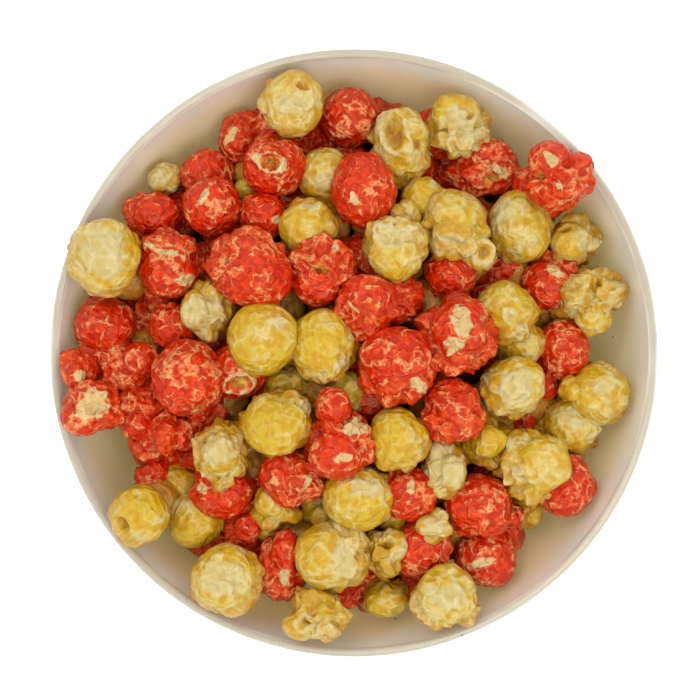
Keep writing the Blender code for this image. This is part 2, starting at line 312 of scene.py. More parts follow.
redRagged = [
    (34.3, 6.7, 29, 29, 5, 0.6, ("bare", 1, 4, 6, 11, 15), ("bare", -2, -5, 9, 7)),
    (-10.3, 27.7, 23, 25, 0, 0.6, ("pit", 0, 0, 8, 6), ("bare", 5, 8, 3, 3)),
    (-4.7, -30.3, 24, 24, 3, 0.5, ("cap", -1, -2, 17), ("bare", 0.7, -3, 8, 3, 10),
     ("bare", 4.7, 7.3, 8, 6, -20)),
    (68.7, 59, 23, 23.5, 0, 0.4, ("pit", -7.5, -0.7, 4, 6), ("bare", -2.7, 4.7, 4, 6, 30),
     ("bare", 0, -4.7, 3, 4)),
    (66, 24.7, 22, 22, 2, 0.5, ("cap", -1, -1, 17), ("bare", 1.3, 2.7, 2.5, 6, 45)),
    (-74.7, -5, 22, 21, 0, 0.9),
    (-23.7, -70.7, 18, 25, 1, 0.6, ("bare", 0.3, -5, 5, 5)),
    (-87, -18.3, 22, 19, 0, 0.6, ("bare", 0.5, 1, 13, 9, 10)),
    (-67.3, 45, 20, 18, 0, 0.3, ("cap", 1, 0, 14)),
    (-71.3, -19.7, 19, 19, -1, 0.15),
    (-60.7, -25.7, 18, 18, -3, 0.1),
    (-62, 20.3, 17, 17, -6, 0.4),
    (15.7, 17.7, 16, 17, -3, 0.3),
    (-49.7, -19.7, 16, 16, -5, 0.1),
    (-36, -56.7, 15.5, 16, -6, 0.1),
    (-68, -29.3, 15, 15, -2, 0.15),
    (-63, -34.3, 13.5, 14, -8, 0),
    (-92, -5.3, 13, 14, 0, 0.3, ("bare", 2.3, -1.7, 4, 4)),
]
goldRound = [
    (-83.3, 31.7, 25, 26.5, 0, 0.85, ("cap", 0.5, -0.5, 22), ("bare", 0.5, 0.5, 17, 17)),
    (-42.3, -75.3, 25, 25.5, 1, 0.75, ("cap", -0.5, 1, 21), ("bare", 0, 1.5, 15, 12)),
    (-7, -67.7, 26, 24.5, 4, 0.8, ("cap", -1.7, 0, 20.5), ("bare", 3.5, -0.5, 7, 13, 10),
     ("pit", 8.3, 1.3, 2, 5, -20)),
    (33, 42.3, 25, 25, 3, 0.65, ("cap", 0, 2, 21), ("bare", -1, -5, 10, 5, -10), ("pit", -9.7, -2, 4, 4)),
    (-30, 4.3, 24.7, 25, 4, 0.1, ("cap", 0, 0, 23.5), ("bare", 5.3, 5.7, 5, 3.5, -35)),
    (-9.3, 2.3, 24, 25, 0, 0.25, ("cap", -1, 1.3, 20), ("bare", 6.5, -6.5, 7, 4, 30)),
    (-26.3, -23.7, 25, 24, 4, 0.15, ("cap", -0.5, -0.5, 20), ("bare", 9.5, 6, 4, 6, 20)),
    (55.7, 41.7, 23, 25.5, 2, 0.65, ("cap", 0, 0, 21.5), ("bare", -6.3, 4.7, 6, 9, -15)),
    (1.3, -48.7, 24, 24, 1, 0.5, ("cap", 0, 0, 21), ("bare", 3, 4, 9, 7)),
    (14, 34.7, 23, 23, 3, 0.6, ("cap", 0, -2.5, 17), ("bare", -1, 4, 12, 8), ("pit", -0.5, 8, 2, 2)),
    (-21.3, 83, 22.5, 23, 0, 0.65, ("pit", 4, 5.5, 6, 4, -25), ("bare", 1, -1, 11, 7)),
    (51, 13.3, 22.5, 22, 0, 0.3, ("cap", -1, 1, 19), ("bare", 1, -0.3, 5.5, 5.5),
     ("bare", 6, -6, 4, 7, -40)),
    (81.3, -13.3, 22, 22.5, 0, 0.35, ("bare", 1, 2, 10, 4, 25)),
    (15, -28.7, 22, 22, 2, 0.05, ("cap", -0.3, 0.7, 20)),
    (52.7, -11.7, 22.5, 21.5, 3, 0.6, ("cap", 0.5, 0.5, 19), ("bare", 0.7, 0.3, 13, 12)),
    (-71.7, -54.3, 21, 21.5, 0, 0.2, ("cap", 0.5, 0.5, 19), ("pit", -5, -2.7, 7, 6, -30),
     ("bare", 1.3, -8, 4, 2.5)),
    (-52, -54.7, 20, 20.5, -3, 0.25),
    (-15, 42.3, 20.5, 19.5, 0, 0.35, ("bare", 0, 7, 8, 3)),
    (-9.7, 59, 18.5, 19, -3, 0.5, ("bare", -1, -3, 7, 7)),
    (55.3, 3, 18, 17, -3, 0.4),
    (23.3, 51.3, 16, 16, -2, 0.3, ("bare", 2.7, 5, 3, 3)),
]
goldRagged = [
    (59.3, -38, 26.5, 26, 4, 0.4, ("cap", 2.5, 0.5, 19), ("bare", -6, -4, 4, 8, 35),
     ("bare", -5, 9, 9, 3, 30)),
    (15.3, 68.7, 22.5, 29, 3, 0.6, ("cap", 0, 1, 21), ("cup", -2.5, 4, 8.5, 13.5, 20),
     ("pit", 6, 0, 4, 6, 15)),
    (79.3, 17, 25.5, 24, 0, 0.5, ("bare", -0.7, -3.3, 5, 5), ("bare", 6, 0, 3, 13, -35),
     ("pit", 2.5, 7.5, 4, 3)),
    (70.3, -24, 25, 22, 2, 0.5, ("cap", 1, 0, 18), ("bare", 1, 2, 8, 7), ("bare", 8, -4, 4, 5)),
    (30.3, -81, 24, 22.5, 0, 0.7, ("cap", 0, 1, 18), ("bare", 0.5, 1.5, 13, 10)),
    (35, 75.3, 23, 22.5, 0, 0.85, ("bare", 1, 0, 14, 12), ("pit", -6.3, -3.7, 5, 3.5, 30),
     ("pit", 4.3, 2.7, 3, 2.5)),
    (-44.7, -34.3, 19.5, 25.5, 3, 0.7, ("bare", -0.5, 2, 13, 13)),
    (-12, -87.3, 24, 19, 0, 0.5, ("cup", -5.3, -1, 6, 6.5)),
    (-48.3, 14, 19, 21.5, 0, 0.85, ("bare", 0, 0.5, 13, 15)),
    (74, 37.5, 19, 19, -3, 0.5, ("pit", -2.7, 4, 5, 3, 20), ("bare", 4, 0, 5, 8)),
    (45, -29.7, 19, 19, -2, 0.25),
    (30, -39, 15.5, 20, 1, 0.85, ("bare", 0, 1, 13, 15)),
    (-26, -51, 18, 17, -5, 0.3),
    (10, -67, 16.5, 18, 0, 0.15, ("pit", 1, 3.5, 7, 5), ("bare", 5.5, 0, 2.5, 9, -15)),
    (10.3, -81.3, 16.7, 14, -1, 0.2, ("cap", 0, 0, 13)),
    (56.3, -52, 14, 14, -6, 0.2),
    (-26.3, -59.3, 13.5, 13.5, -6, 0.3),
    (26.7, -57.7, 12.5, 13, 5, 0.7, ("bare", 0, -1, 8, 7)),
]
# Smaller bits lie on those, or deep between them. They are placed once the rest has settled.
redBits = [
    (-7, -17.3, 12, 12.5, 6, 0.4, ("cap", 0, 0, 10)),
    (62.3, -10.3, 14, 14, -8, 0.2),
    (52, -54, 10, 10, -1, 0.6),
    (-0.3, -79.7, 11.5, 11.5, -8, 0.2),
    (56.3, -23.7, 11, 11, -9, 0.2),
    (-14, 69, 16, 16, -12, 0.2),
    (-69, 12, 15.5, 16, -12, 0.2),
    (48, 27, 17, 17, -13, 0.2),
    (-67.3, -41.3, 12.7, 12.7, -5, 0.3),
]
goldBits = [
    (-63, 58.3, 12, 11.5, 0, 0.8, ("bare", -2, 0, 6, 8, -30)),
    (-34.7, 53.7, 11.5, 11.5, -10, 0.5),
    (42, 33, 12, 12, 3, 0.5, ("cup", 0.5, 0, 7, 7)),
    (17, 46.3, 11.5, 10, 2, 0.3, ("bare", 2, 0, 4, 4)),
    (-58, -42.3, 13.5, 13.5, -10, 0.2),
    (-11.3, -52.3, 13, 13, -10, 0.2),
    (72.3, -11.7, 9, 9, 1, 0.2),
    (13.3, -55, 10, 10, -7, 0.2),
    (-22, -11, 15, 15, -9, 0.2),
    (-3, -13, 15, 15, -9, 0.2),
]


def crownHeight(x, y):
    fall = heap["crownDrop"] * (x * x + y * y) / heap["crownRadius"] ** 2
    return bowl["height"] + heap["crownRise"] - fall + heap["crownLean"][0] * x + heap["crownLean"][1] * y


def restingHeight(out, size):  # lowest for a ball this far from the axis, clear of the bowl
    middleOut, middleUp, arcRadius, _ = insideArc
    reach = arcRadius - size - heap["wallGap"]
    beyond = max(out - middleOut, 0)
    if beyond < reach:
        drop = sqrt(reach**2 - beyond**2)
        if middleUp - drop * arcRadius / reach <= lipMiddle[1]:
            return middleUp - drop
    touch = size + bowl["lip"] / 2 + heap["wallGap"]
    return lipMiddle[1] + sqrt(max(touch**2 - (lipMiddle[0] - out) ** 2, 0))


class Kernel:
    def __init__(self, row, number):
        self.seenX, self.seenY, wide, tall, lift = (value * mm for value in row[:5])
        self.half = Vector((wide, tall, (wide + tall) / 2)) / 2
        self.size = max(self.half)
        self.pale = row[5]
        self.marks = row[6:]
        self.number = number
        self.level = crownHeight(self.seenX, self.seenY) + lift
        self.moveTo(self.level)

    def moveTo(self, height):  # above the rim it is nearer the axis than it looks
        for _ in range(heap["sightRounds"]):
            shrink = 1 - (height - bowl["height"]) / photo["eyeHeight"]
            self.x = self.seenX * shrink
            self.y = self.seenY * shrink
            height = max(height, restingHeight(hypot(self.x, self.y), self.size))
        self.z = height


def overlapping(first, second, nestle):  # how much further apart in height they should be
    close = nestle * (first.size + second.size)
    apart = hypot(first.x - second.x, first.y - second.y)
    if apart >= close:
        return 0
    return sqrt(close**2 - apart**2) - abs(first.z - second.z)


def settle(kernels):
    for _ in range(heap["rounds"]):
        for i, first in enumerate(kernels):
            for second in kernels[:i]:
                short = overlapping(first, second, heap["nestle"])
                if short <= 0:
                    continue
                upper, lower = (first, second) if first.z > second.z else (second, first)
                upper.moveTo(upper.z + heap["push"] * short)
                lower.moveTo(lower.z - heap["push"] * short)
        for kernel in kernels:
            kernel.moveTo(kernel.z + heap["pull"] * (kernel.level - kernel.z))


def placeKernels():
    groups = dict(redRound=redRound, redRagged=redRagged, goldRound=goldRound, goldRagged=goldRagged)
    placed = {}
    every = []
    for name, rows in groups.items():
        placed[name] = [Kernel(row, len(every) + i) for i, row in enumerate(rows)]
        every += placed[name]
    settle(every)
    for name, rows in (("redBits", redBits), ("goldBits", goldBits)):
        placed[name] = [Kernel(row, len(every) + i) for i, row in enumerate(rows)]
        for bit in placed[name]:
            if bit.level >= crownHeight(bit.seenX, bit.seenY):
                for other in every:
                    if other.z < bit.z + other.size:
                        bit.moveTo(bit.z + max(overlapping(bit, other, heap["nestle"]), 0))
        every += placed[name]
    return placed, every


# Kernels hidden below those, which show dark in the gaps

under = {
    "spacing": 17 * mm,
    "rowShare": 0.87,  # how near the rows are, of the spacing
    "jitter": 3.5 * mm,
    "below": 15 * mm,
    "sizes": (18, 22),
    "pale": 0.2,
    "reach": 84 * mm,
    "cover": 0.5,  # how far below the nearest kernel's middle, in its halves
    "redShare": 0.5,
    "seed": 11,
    "firstNumber": 1000,
}


def placeUnder(every):
    draw = random.Random(under["seed"])
    placed = {"redUnder": [], "goldUnder": []}
    steps = int(under["reach"] / under["spacing"]) + 1
    number = under["firstNumber"]
    for row in range(-steps, steps + 1):
        for column in range(-steps, steps + 1):
            x = (column + 0.5 * (row % 2)) * under["spacing"] + draw.uniform(-1, 1) * under["jitter"]
            y = row * under["rowShare"] * under["spacing"] + draw.uniform(-1, 1) * under["jitter"]
            width = draw.uniform(*under["sizes"])
            colour = "red" if draw.random() < under["redShare"] else "gold"
            if hypot(x, y) > under["reach"]:
                continue
            kernel = Kernel((x / mm, y / mm, width, width, -under["below"] / mm, under["pale"]), number)
            number += 1
            near = min(every, key=lambda other: hypot(other.x - x, other.y - y))
            covered = near.z - under["cover"] * near.size
            if kernel.z > covered:
                kernel.moveTo(covered)
            if kernel.z <= covered:
                placed[colour + "Under"].append(kernel)
    return placed


# Kernels that hold up the ones lying high by the rim, out of sight below them

props = {
    "touch": 0.9,  # how near two kernels' middles are, of their sizes, where one carries the other
    "steep": 0.35,  # how much of that way is upwards, at least
    "outward": 0.2,  # how far further out than its load a prop may lie, of its size
    "size": 0.86,
    "step": 1 * mm,
    "furthestIn": 0.8,  # of the way between the two middles
    "rounds": 4,
    "lowest": 2 * mm,
    "firstNumber": 2000,
}


def carried(kernel, others):
    out = hypot(kernel.x, kernel.y)
    onWall = kernel.z <= restingHeight(out, kernel.size) + props["lowest"]
    if onWall and out + kernel.size < lipMiddle[0]:
        return True
    for other in others:
        inward = (kernel.x - other.x) * kernel.x + (kernel.y - other.y) * kernel.y
        if other.z > kernel.z - props["lowest"] or inward < -props["outward"] * out * other.size:
            continue
        apart = Vector((kernel.x - other.x, kernel.y - other.y, kernel.z - other.z))
        near = apart.length < props["touch"] * (kernel.size + other.size)
        if near and apart.z > props["steep"] * apart.length:
            return True
    return False


def placeProps(placed):
    every, colours = [], {}
    for name, kernels in placed.items():
        every += kernels
        colours.update((kernel.number, "red" if name.startswith("red") else "gold") for kernel in kernels)
    waiting = [kernel for kernel in every if kernel.number < under["firstNumber"]]
    number = props["firstNumber"]
    for _ in range(props["rounds"]):
        added = []
        for kernel in waiting:
            if carried(kernel, every):
                continue
            width = 2 * props["size"] * kernel.size / mm
            given = (kernel.seenX / mm, kernel.seenY / mm, width, width, 0, under["pale"])
            prop = Kernel(given, number)
            number += 1
            reach = props["touch"] * (kernel.size + prop.size)
            out = hypot(kernel.x, kernel.y)
            inward = 0
            while inward < props["furthestIn"] * reach:
                height = kernel.z - sqrt(reach**2 - inward**2)
                if restingHeight(out - inward, prop.size) <= height:
                    break
                inward += props["step"]
            share = (out - inward) / out
            prop.x, prop.y = kernel.x * share, kernel.y * share
            prop.z = max(height, restingHeight(out - inward, prop.size))
            added.append(prop)
            every.append(prop)
            colours[prop.number] = colours[kernel.number]
            placed[colours[kernel.number] + "Under"].append(prop)
        waiting = added


# Kernel shapes: one geometry tree grows each place into a popped kernel

shapeNames = ("Lobe Size", "Lobe Depth", "Bump Depth", "Wrinkle Depth", "Cap Bumps", "Fold")
popped = {  # lengths and depths in kernel halves, scales against the lobes
    "finerAbove": 0.3,  # crowds the mesh towards the top, which shows most
    "patternStep": (17.1, 31.7, 23.3),  # from one kernel's pattern to the next
    "patterns": 97,
    "strayScale": 0.9,
    "warp": 0.7,
    "bumpScale": 2.3,
    "wrinkleScale": 2.4,
    "wrinkleWidth": 0.2,
    "puffCurve": 1.25,
    "capBlend": 0.05,
    "capLeast": 0.02,
    "capLump": 0.3,
    "capLumpScale": 0.6,
    "capBumpScale": 0.5,  # the cap has its bumps in patches
    "capBumpRange": (0.4, 0.6),
    "onCapRange": (-0.02, 0.05),
    "bodyUnderCap": 0.74,
    "underCapRange": (-0.75, 0.1),
    "markUneven": 0.8,
    "markUnevenScale": 1.8,
    "farBelow": 9.0,  # keeps a mark off the underside
    "hollowSoft": 0.45,
    "bareSoft": 0.5,
    "cupLip": 0.07,
    "lipAt": 1.15,
    "lipWidth": 0.2,
    "bareLift": 0.03,
    "bareLumps": 0.10,
    "foldScale": 1.2,
    "foldOffCap": 0.8,
    "ridgeShare": 0.5,
    "ridgeOnCap": 0.8,
}
# A mark's At is its place and depth, and its Half its half widths and turn.
marksKept = ("cup#", "pit#", "bare#", "bare#2")
placeAttributes = {
    "half": "FLOAT_VECTOR",
    "kernel": "FLOAT",
    "pale": "FLOAT",
    "capAt": "FLOAT_VECTOR",  # the cap's middle, from the kernel's, in kernel halves
    "capSize": "FLOAT",
    "cupLip": "FLOAT",
    **{mark.replace("#", part): "FLOAT_VECTOR" for mark in marksKept for part in ("At", "Half")},
}


def kernelTree():
    tree = bpy.data.node_groups.new("popped kernels", "GeometryNodeTree")
    addSockets(tree, "INPUT", {"Places": "Geometry", "Detail": "Int", "Coating": "Material"})
    addSockets(tree, "INPUT", dict.fromkeys(shapeNames, "Float"))
    addSockets(tree, "OUTPUT", {"Kernels": "Geometry"})
    given = {out.name: Out(tree, out) for out in tree.nodes.new("NodeGroupInput").outputs}

    def attribute(name, kind="FLOAT_VECTOR"):
        return put(tree, "GeometryNodeInputNamedAttribute", {"Name": name}, data_type=kind)

    def store(geometry, name, value, kind="FLOAT"):
        feeds = {"Geometry": geometry, "Name": name, "Value": value}
        return put(tree, "GeometryNodeStoreNamedAttribute", feeds, data_type=kind, domain="POINT")

    def uneven(key, detail=1.0):  # a smooth pattern about 0
        return cloud(spot, popped[key], detail) - 0.5

    def puffs(vector, scale):  # 1 at the top of each lobe, 0 in the creases between
        distance = put(tree, "ShaderNodeTexVoronoi", {"Vector": vector, "Scale": scale}, "Distance")
        return calc("SUBTRACT", 1.0, distance * distance * popped["puffCurve"], clamp=True)

    def less(reach, depth, height):  # the reach with a relief cut into it
        return reach - depth * (1.0 - height)

    position = put(tree, "GeometryNodeInputPosition")
    marked = store(given["Places"], "middle", position, "FLOAT_VECTOR")
    ball = put(tree, "GeometryNodeMeshIcoSphere", {"Radius": 1.0, "Subdivisions": given["Detail"]})
    spread = put(tree, "GeometryNodeInstanceOnPoints", {"Points": marked, "Instance": ball})
    mesh = put(tree, "GeometryNodeRealizeInstances", {"Geometry": spread})

    middle = attribute("middle")
    half = attribute("half")
    way = calc("NORMALIZE", position - middle + Vector((0, 0, popped["finerAbove"])))
    upward = upPart(way)
    overKernel = way * half
    perLobe = calc("DIVIDE", 1.0, given["Lobe Size"])
    feeds = {0: popped["patternStep"], "Scale": attribute("kernel", "FLOAT")}
    offset = put(tree, "ShaderNodeVectorMath", feeds, operation="SCALE")
    spot = overKernel * perLobe + offset
    spot = spot + drift(spot, popped["strayScale"]) * popped["warp"]

    lobes = puffs(spot, 1.0)
    bumps = puffs(spot, popped["bumpScale"])
    line = calc("ABSOLUTE", uneven("wrinkleScale"))
    wrinkle = 1.0 - ramp(line, 0.0, popped["wrinkleWidth"])
    lump = uneven("capLumpScale") * popped["capLump"]

    capAt = attribute("capAt")  # the round cap is a ball of its own, off the middle
    capSize = attribute("capSize", "FLOAT")
    capTurn = calc("DOT_PRODUCT", way, capAt)
    squares = capTurn * capTurn - calc("DOT_PRODUCT", capAt, capAt) + calc("POWER", capSize, 2.0)
    cap = capTurn + calc("SQRT", largest(squares, popped["capLeast"]))
    cap = less(cap + lump, given["Wrinkle Depth"], wrinkle)
    patches = ramp(cloud(spot, popped["capBumpScale"]), *popped["capBumpRange"])
    cap = less(cap, patches * given["Cap Bumps"], bumps)

    capTurn = calc("DOT_PRODUCT", way, calc("NORMALIZE", capAt))
    fromCap = ramp(capTurn * -1.0, *popped["underCapRange"])
    body = fromCap * (1 - popped["bodyUnderCap"]) + popped["bodyUnderCap"]
    for depth, relief in (("Lobe Depth", lobes), ("Bump Depth", bumps), ("Wrinkle Depth", wrinkle)):
        body = less(body, given[depth], relief)
    reach = calc("SMOOTH_MAX", cap, body, popped["capBlend"])
    onCap = ramp(cap - body, *popped["onCapRange"])

    ragged = uneven("markUnevenScale", 2.0) * popped["markUneven"]

    def fromMark(name):  # 0 at a mark's middle, 1 at its edge, seen from above
        place = attribute(name.replace("#", "At"))
        size = attribute(name.replace("#", "Half"))
        feeds = {"Vector": overKernel - place, "Angle": upPart(size)}
        flat = put(tree, "ShaderNodeVectorRotate", feeds, rotation_type="Z_AXIS")
        shares = flat * Vector((1, 1, 0)) / size
        below = calc("LESS_THAN", upward, 0.0) * popped["farBelow"]
        return calc("LENGTH", shares) + ragged + below

    def within(distance, soft):
        return 1.0 - ramp(distance, 1.0 - popped[soft], 1.0)

    fromCup = fromMark("cup#")
    cup = within(fromCup, "hollowSoft")
    pit = within(fromMark("pit#"), "hollowSoft")
    offLip = (fromCup - popped["lipAt"]) / popped["lipWidth"]
    lip = calc("EXPONENT", offLip * offLip * -1.0) * attribute("cupLip", "FLOAT")
    bare = largest(within(fromMark("bare#"), "bareSoft"), within(fromMark("bare#2"), "bareSoft"))
    reach = reach - cup * upPart(attribute("cupAt")) - pit * upPart(attribute("pitAt"))
    reach = reach + lip * popped["cupLip"] + bare * popped["bareLift"]
    reach = less(reach, bare * popped["bareLumps"], bumps)

    curl = drift(spot, popped["foldScale"]) * given["Fold"] * half
    curl = curl * (1.0 - onCap * popped["foldOffCap"])
    place = middle + way * reach * half + curl

    # ridge is low in the creases between lobes and upward low on the underside: the coating uses both for
    # painted shade.
    share = popped["ridgeShare"]
    ridge = largest(lobes * share + bumps * (1 - share), onCap * popped["ridgeOnCap"])
    mesh = store(mesh, "ridge", ridge)
    mesh = store(mesh, "onCap", onCap)
    mesh = store(mesh, "hollow", largest(cup, pit))
    mesh = store(mesh, "bare", largest(bare, lip))
    mesh = store(mesh, "upward", upward)
    moved = put(tree, "GeometryNodeSetPosition", {"Geometry": mesh, "Position": place})
    smooth = put(tree, "GeometryNodeSetShadeSmooth", {"Geometry": moved})
    coated = put(tree, "GeometryNodeSetMaterial", {"Geometry": smooth, "Material": given["Coating"]})
    feed(tree.nodes.new("NodeGroupOutput"), {"Kernels": coated})
    return tree


marking = {
    "depth": 0.5,  # of a hollow's narrower width
    "deepest": 0.4,  # of the kernel's half
    "bareSpread": 1.35,  # a bare spot's edge is ragged, so it starts wider
    "largestCap": 0.97,  # of the kernel
}
noMarks = [(Vector((1, 1, 0)), Vector((1, 1, 1)) * mm)] * 2


def markPlace(kernel, dx, dy, wide, tall, turn=0, larger=1):
    wide, tall = wide * larger, tall * larger
    depth = min(marking["depth"] * min(wide, tall) * mm / kernel.size, marking["deepest"])
    return Vector((dx * mm, dy * mm, depth)), Vector((wide / 2 * mm, tall / 2 * mm, radians(-turn)))


def capPlace(kernel, caps, given):
    draw = random.Random(kernel.number)
    size = draw.uniform(*caps["size"])
    off = 1 - size
    turn = draw.uniform(0, tau)
    lean = sqrt(draw.random()) * caps["lean"]
    across, up = lean * cos(turn), lean * sin(turn)
    if given:
        dx, dy, width = given[0]
        size = min(width * mm / (kernel.half.x + kernel.half.y), marking["largestCap"])
        off = 1 - size
        across, up = dx * mm / kernel.half.x / off, dy * mm / kernel.half.y / off
    flat = min(hypot(across, up), 1)
    return Vector((across, up, sqrt(1 - flat * flat))) * off, size


def placesMesh(name, kernels, caps):
    mesh = bpy.data.meshes.new(name)
    mesh.from_pydata([(kernel.x, kernel.y, kernel.z) for kernel in kernels], [], [])
    rows = []
    for kernel in kernels:
        marks = {"cap": [], "cup": [], "pit": [], "bare": []}
        for kind, *measures in kernel.marks:
            marks[kind].append(measures)
        capAt, capSize = capPlace(kernel, caps, marks["cap"])
        hollows = [markPlace(kernel, *mark) for mark in marks["cup"] + marks["pit"]]
        bares = [markPlace(kernel, *mark, larger=marking["bareSpread"]) for mark in marks["bare"]]
        found = (hollows + noMarks)[:2] + (bares + noMarks)[:2]
        row = {
            "half": kernel.half,
            "kernel": float(kernel.number % popped["patterns"]),
            "pale": kernel.pale,
            "capAt": capAt,
            "capSize": capSize,
            "cupLip": float(len(marks["cup"])),
        }
        for key, (place, size) in zip(marksKept, found):
            row[key.replace("#", "At")] = place
            row[key.replace("#", "Half")] = size
        rows.append(row)
    for key, kind in placeAttributes.items():
        layer = mesh.attributes.new(key, kind, "POINT")
        if kind == "FLOAT_VECTOR":
            layer.data.foreach_set("vector", [part for row in rows for part in row[key]])
        else:
            layer.data.foreach_set("value", [row[key] for row in rows])
    return mesh


def fillOutline(mesh, kernels):  # lobes leave a kernel narrower than the photo shows it
    points = np.empty(len(mesh.vertices) * 3, dtype=np.float32)
    mesh.vertices.foreach_get("co", points)
    points = points.reshape(len(kernels), -1, 3)
    middles = np.array([(kernel.x, kernel.y, kernel.z) for kernel in kernels], dtype=np.float32)
    middles = middles[:, None]
    halves = np.array([kernel.half[:2] for kernel in kernels], dtype=np.float32)
    away = points - middles
    low, high = away[:, :, :2].min(axis=1), away[:, :, :2].max(axis=1)
    away[:, :, :2] -= ((low + high) / 2)[:, None]
    stretch = halves * 2 / (high - low)
    away[:, :, :2] *= stretch[:, None]
    away[:, :, 2] *= np.minimum(stretch.mean(axis=1), 1.0)[:, None]
    mesh.vertices.foreach_set("co", (middles + away).ravel())


def growKernels(name, kernels, caps, tree, settings):
    seeds = addObject(name, placesMesh(name, kernels, caps))
    grow = seeds.modifiers.new("grow", "NODES")
    grow.node_group = tree
    for item in tree.interface.items_tree:
        if item.in_out == "INPUT" and item.name in settings:
            grow[item.identifier] = settings[item.name]
    graph = bpy.context.evaluated_depsgraph_get()
    mesh = bpy.data.meshes.new_from_object(seeds.evaluated_get(graph))
    mesh.name = name
    seeds.modifiers.clear()
    seeds.data = mesh
    fillOutline(mesh, kernels)
    for key in [*placeAttributes, "middle"]:
        if key not in ("kernel", "pale") and key in mesh.attributes:
            mesh.attributes.remove(mesh.attributes[key])
    return seeds


# Specks: crumbs of burnt sugar on the wall

specks = {
    "pixels": ((395.5, 619), (462, 635), (613, 337)),  # where the photo shows each
    "halves": (0.3 * mm, 0.42 * mm, 0.15 * mm),
    "uneven": 0.25,
    "unevenScale": 1.5,
    "dark": linear(118, 82, 62),
    "light": linear(150, 112, 86),
    "blotchScale": 3000.0,
    "blotchRange": (0.4, 0.6),
    "rough": 0.6,
    "rounds": 8,  # to find the wall below a pixel
}


def wallPlace(pixel):  # where the camera's line through a pixel meets the inside of the bowl
    across, up = fromRim(*pixel)
    lipHalf = bowl["lip"] / 2
    height = bowl["height"]
    for _ in range(specks["rounds"]):
        share = (photo["eyeHeight"] + bowl["height"] - height) / photo["eyeHeight"]
        radius = hypot(across, up) * share
        beyond = radius - lipMiddle[0]
        if beyond > -lipHalf:
            height = lipMiddle[1] + sqrt(max(lipHalf**2 - beyond**2, 0))
            out, rise = beyond, height - lipMiddle[1]
        else:
            height = insideArc[1] - sqrt(insideArc[2] ** 2 - (radius - insideArc[0]) ** 2)
            out, rise = insideArc[0] - radius, insideArc[1] - height
    turn = atan2(up, across)
    outward = Vector((cos(turn), sin(turn), 0))
    normal = outward * out + Vector((0, 0, rise))
    return outward * radius + Vector((0, 0, height)), normal.normalized()


def makeSpecks():
    bm = bmesh.new()
    for pixel in specks["pixels"]:
        place, normal = wallPlace(pixel)
        turn = normal.to_track_quat("Z", "Y").to_matrix()
        for vert in bmesh.ops.create_icosphere(bm, subdivisions=3, radius=1)["verts"]:
            spot = vert.co * specks["unevenScale"] + Vector((pixel[0], 0, 0))
            lump = 1 + specks["uneven"] * noise.noise(spot)
            parts = [part * half * lump for part, half in zip(vert.co, specks["halves"])]
            vert.co = place + turn @ Vector(parts)
    return meshObject("specks", bm)


# Core: the body of the heap, below the kernels, painted dark as shade

core = {
    "below": 17 * mm,
    "edgeBelow": 26 * mm,
    "gap": 1.2 * mm,
    "around": 64,
    "rings": 14,
    "rounds": 6,  # to find its edge on the wall
    # The core's colours are painted shade: the heap's depths coloured dark, as in shadow.
    "dark": linear(40, 10, 4),
    "light": linear(85, 35, 10),
    "blotchScale": 60.0,
    "blotchRange": (0.4, 0.6),
    "rough": 0.7,
    "shine": 0.1,
    "bump": 0.6,
    "bumpHeight": 2 * mm,
}


def makeCore():
    bm = bmesh.new()
    middleOut, middleUp, arcRadius, _ = insideArc
    reach = arcRadius - core["gap"]
    around, steps = core["around"], core["rings"]
    turns = [tau * i / around for i in range(around)]
    edges = []
    for turn in turns:
        radius = heap["crownRadius"]
        for _ in range(core["rounds"]):
            height = crownHeight(radius * cos(turn), radius * sin(turn)) - core["edgeBelow"]
            radius = middleOut + sqrt(reach**2 - (middleUp - height) ** 2)
        edges.append(radius)
    rings = [[bm.verts.new((0, 0, insideFloor + core["gap"]))]]
    for i in range(steps + 1):
        angles = [asin((edge - middleOut) / reach) * i / steps for edge in edges]
        radii = [middleOut + reach * sin(angle) for angle in angles]
        rings.append(addRing(bm, radii, turns, [middleUp - reach * cos(angle) for angle in angles]))
    for i in range(steps - 1, 0, -1):
        radii = [edge * i / steps for edge in edges]
        crown = [crownHeight(radius * cos(turn), radius * sin(turn)) for radius, turn in zip(radii, turns)]
        rings.append(addRing(bm, radii, turns, [height - core["below"] for height in crown]))
    rings.append([bm.verts.new((0, 0, crownHeight(0, 0) - core["below"]))])
    return joinRings("core", bm, rings)


# Finishes


def newMaterial(name):
    made = bpy.data.materials.new(name)
    made.use_nodes = True
    tree = made.node_tree
    return made, tree.nodes["Principled BSDF"], put(tree, "ShaderNodeTexCoord", out="Object")


sugar = {  # the coating's patterns: each one's scale, against the look's own, and its detail
    "fold": (0.8, 0.0),
    "break": (0.6, 1.0),
    "lump": (1.2, 0.0),
    "mottle": (0.3, 2.0),
    "grain": (3.0, 1.0),
    "strayScale": 0.5,
    "strayReach": 4 * mm,
    "breakRange": (0.34, 0.56),  # folds stop and start
    "lumpRange": (0.34, 0.66),
    "foldShare": 0.6,
    "frostAndSheenUpRange": (-0.3, 0.5),
    "bareRag": 0.5,
    "creamLow": 0.3,
    "creamMore": 0.7,
    "bareRough": 0.25,
    "coatRough": 0.16,
    "seeInColour": (1.0, 0.45, 0.2),
}
sugarMasks = ("Fold", "Lump", "Mottle", "Grain")


